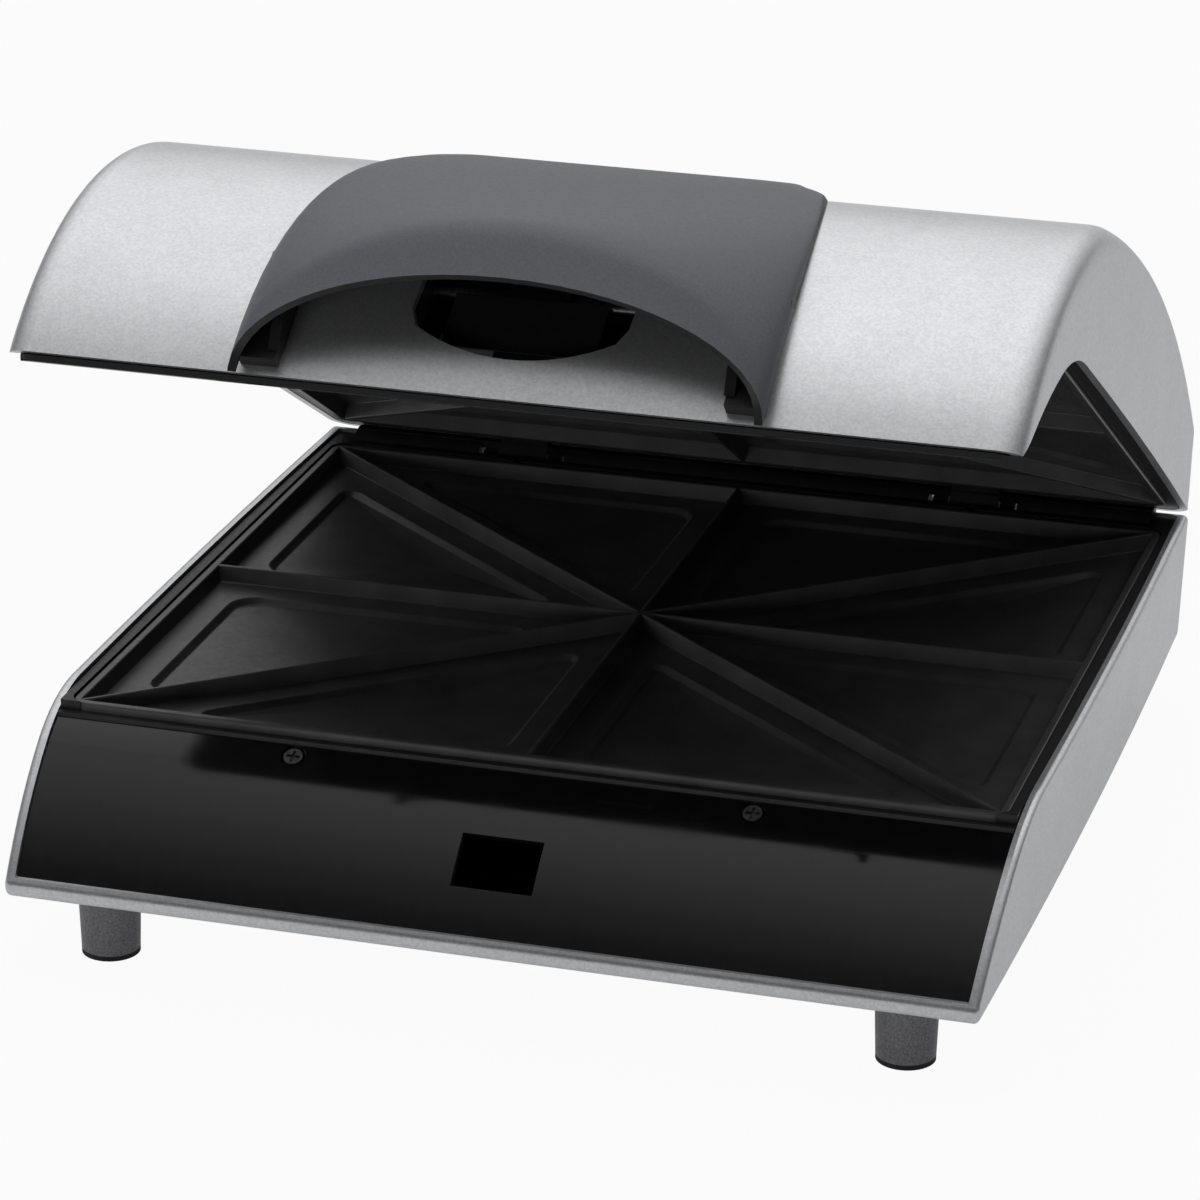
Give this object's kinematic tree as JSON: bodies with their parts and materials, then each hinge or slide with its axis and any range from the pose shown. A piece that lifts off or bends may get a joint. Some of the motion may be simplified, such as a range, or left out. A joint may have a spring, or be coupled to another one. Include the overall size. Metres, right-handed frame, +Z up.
{
  "type": "sandwich maker",
  "caption": "Countertop sandwich maker with a low silver housing, pocketed non-stick plates and a hinged silver lid with a dark grey handle hood.",
  "frame": {"origin": "middle of the housing's footprint, on the table under the feet", "axes": "+Z up, -Y towards the front panel, +X to the right seen from the front"},
  "size_m": [0.293, 0.2999, 0.2263],
  "materials": {
    "silver_paint": "metallic silver paint on moulded plastic, satin",
    "gloss_black": "high gloss",
    "grey_cowl": "dark grey, semi-gloss",
    "black_plastic": "satin",
    "non_stick": "black non-stick coat on a die casting, satin",
    "foot_grey": "dark metallic grey, satin",
    "rubber_black": "matt",
    "bright_steel": "bright sheet",
    "heater_steel": "heat-darkened",
    "screw_steel": "dark zinc",
    "wire_sleeve": "woven glass sleeve"
  },
  "bodies": {
    "base": {"base_cover": "black_plastic", "base_housing": "silver_paint", "base_wires": "wire_sleeve", "cord_bush": "rubber_black", "cover_screws": "screw_steel", "foot_front_left": "foot_grey", "foot_front_right": "foot_grey", "foot_pads": "rubber_black", "foot_rear_left": "foot_grey", "foot_rear_right": "foot_grey", "foot_screws": "screw_steel", "front_panel": "gloss_black", "hinge_bracket_left": "black_plastic", "hinge_bracket_right": "black_plastic", "hinge_bracket_screws": "screw_steel", "hinge_pin_left": "screw_steel", "hinge_pin_right": "screw_steel", "lower_element": "heater_steel", "lower_element_clamps": "heater_steel", "lower_frame": "black_plastic", "lower_plate": "non_stick", "lower_plate_screws": "screw_steel", "lower_thermal_fuse": "heater_steel", "lower_tray": "bright_steel", "lower_tray_screws": "screw_steel", "panel_screws": "screw_steel", "terminal_block": "black_plastic", "thermostat": "heater_steel"},
    "lid": {"cowl_rib_left": "black_plastic", "cowl_rib_right": "black_plastic", "cowl_screws": "screw_steel", "finger_well": "black_plastic", "handle_cowl": "grey_cowl", "latch_pin": "screw_steel", "lid_frame": "black_plastic", "lid_liner": "gloss_black", "lid_screws": "screw_steel", "lid_shell": "silver_paint", "upper_element": "heater_steel", "upper_element_clamps": "heater_steel", "upper_plate": "non_stick", "upper_plate_screws": "screw_steel", "upper_thermal_fuse": "heater_steel", "upper_tray": "bright_steel", "upper_tray_screws": "screw_steel"},
    "latch": {"latch_lever": "black_plastic"}
  },
  "joints": [
    {"name": "lid_hinge", "type": "hinge", "parent": "base", "child": "lid", "pos_m": [0, 0.1385, 0.061], "axis": [-1, 0, 0], "range_deg": [-30.1, 63.6]},
    {"name": "latch_swing", "type": "hinge", "parent": "lid", "child": "latch", "pos_m": [0, -0.08753, 0.19549], "axis": [1, 0, 0], "range_deg": [0, 12]}
  ]
}
